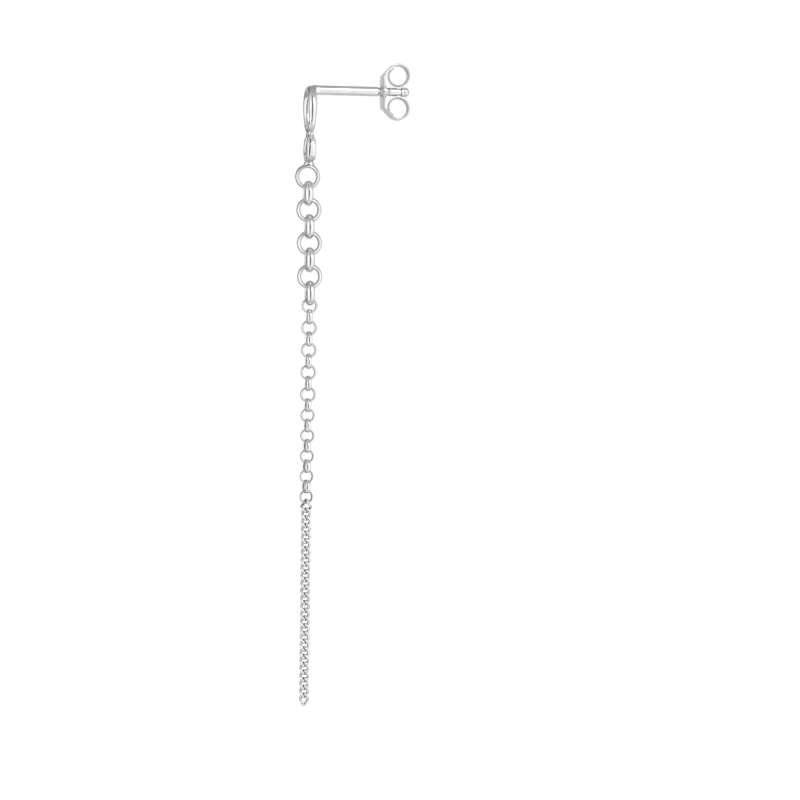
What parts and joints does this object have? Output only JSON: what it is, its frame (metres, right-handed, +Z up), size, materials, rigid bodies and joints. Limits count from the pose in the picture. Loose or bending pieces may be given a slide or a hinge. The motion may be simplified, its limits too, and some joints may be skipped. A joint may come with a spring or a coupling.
{
  "type": "chain drop earring",
  "caption": "Polished silver drop earring: two upright loops on an ear post with a scroll clutch, and a hanging chain of round links that get smaller and end in a fine curb chain.",
  "frame": {"origin": "on the ear post's axis where it leaves the back of the loops, which is where the earring sits on the ear lobe", "axes": "+Y along the post to its tip, so -Y is the front of the earring; +Z up, with the chain hanging along -Z; X across the loops"},
  "size_m": [0.0042, 0.0115, 0.0644],
  "materials": {
    "stud_silver": "polished sterling silver",
    "clutch_silver": "rolled and polished silver sheet",
    "link_silver": "polished sterling silver",
    "curb_silver": "polished sterling silver wire"
  },
  "bodies": {
    "stud_and_chain": {"ear_stud": "stud_silver", "large_link_1": "link_silver", "large_link_2": "link_silver", "large_link_3": "link_silver", "large_link_4": "link_silver", "large_link_5": "link_silver", "large_link_6": "link_silver", "large_link_7": "link_silver", "medium_link_1": "link_silver", "medium_link_2": "link_silver", "medium_link_3": "link_silver", "medium_link_4": "link_silver", "medium_link_5": "link_silver", "medium_link_6": "link_silver", "medium_link_7": "link_silver", "medium_link_8": "link_silver", "medium_link_9": "link_silver", "small_link_1": "link_silver", "small_link_2": "link_silver", "small_link_3": "link_silver", "small_link_4": "link_silver", "small_link_5": "link_silver", "small_link_6": "link_silver", "small_link_7": "link_silver", "small_link_8": "link_silver", "small_link_9": "link_silver", "small_link_10": "link_silver", "curb_chain": "curb_silver"},
    "clutch": {"clutch": "clutch_silver"}
  },
  "joints": [
    {"name": "clutch_slide", "type": "slide", "parent": "stud_and_chain", "child": "clutch", "axis": [0, 1, 0], "range_m": [-0.006, 0.02]}
  ]
}
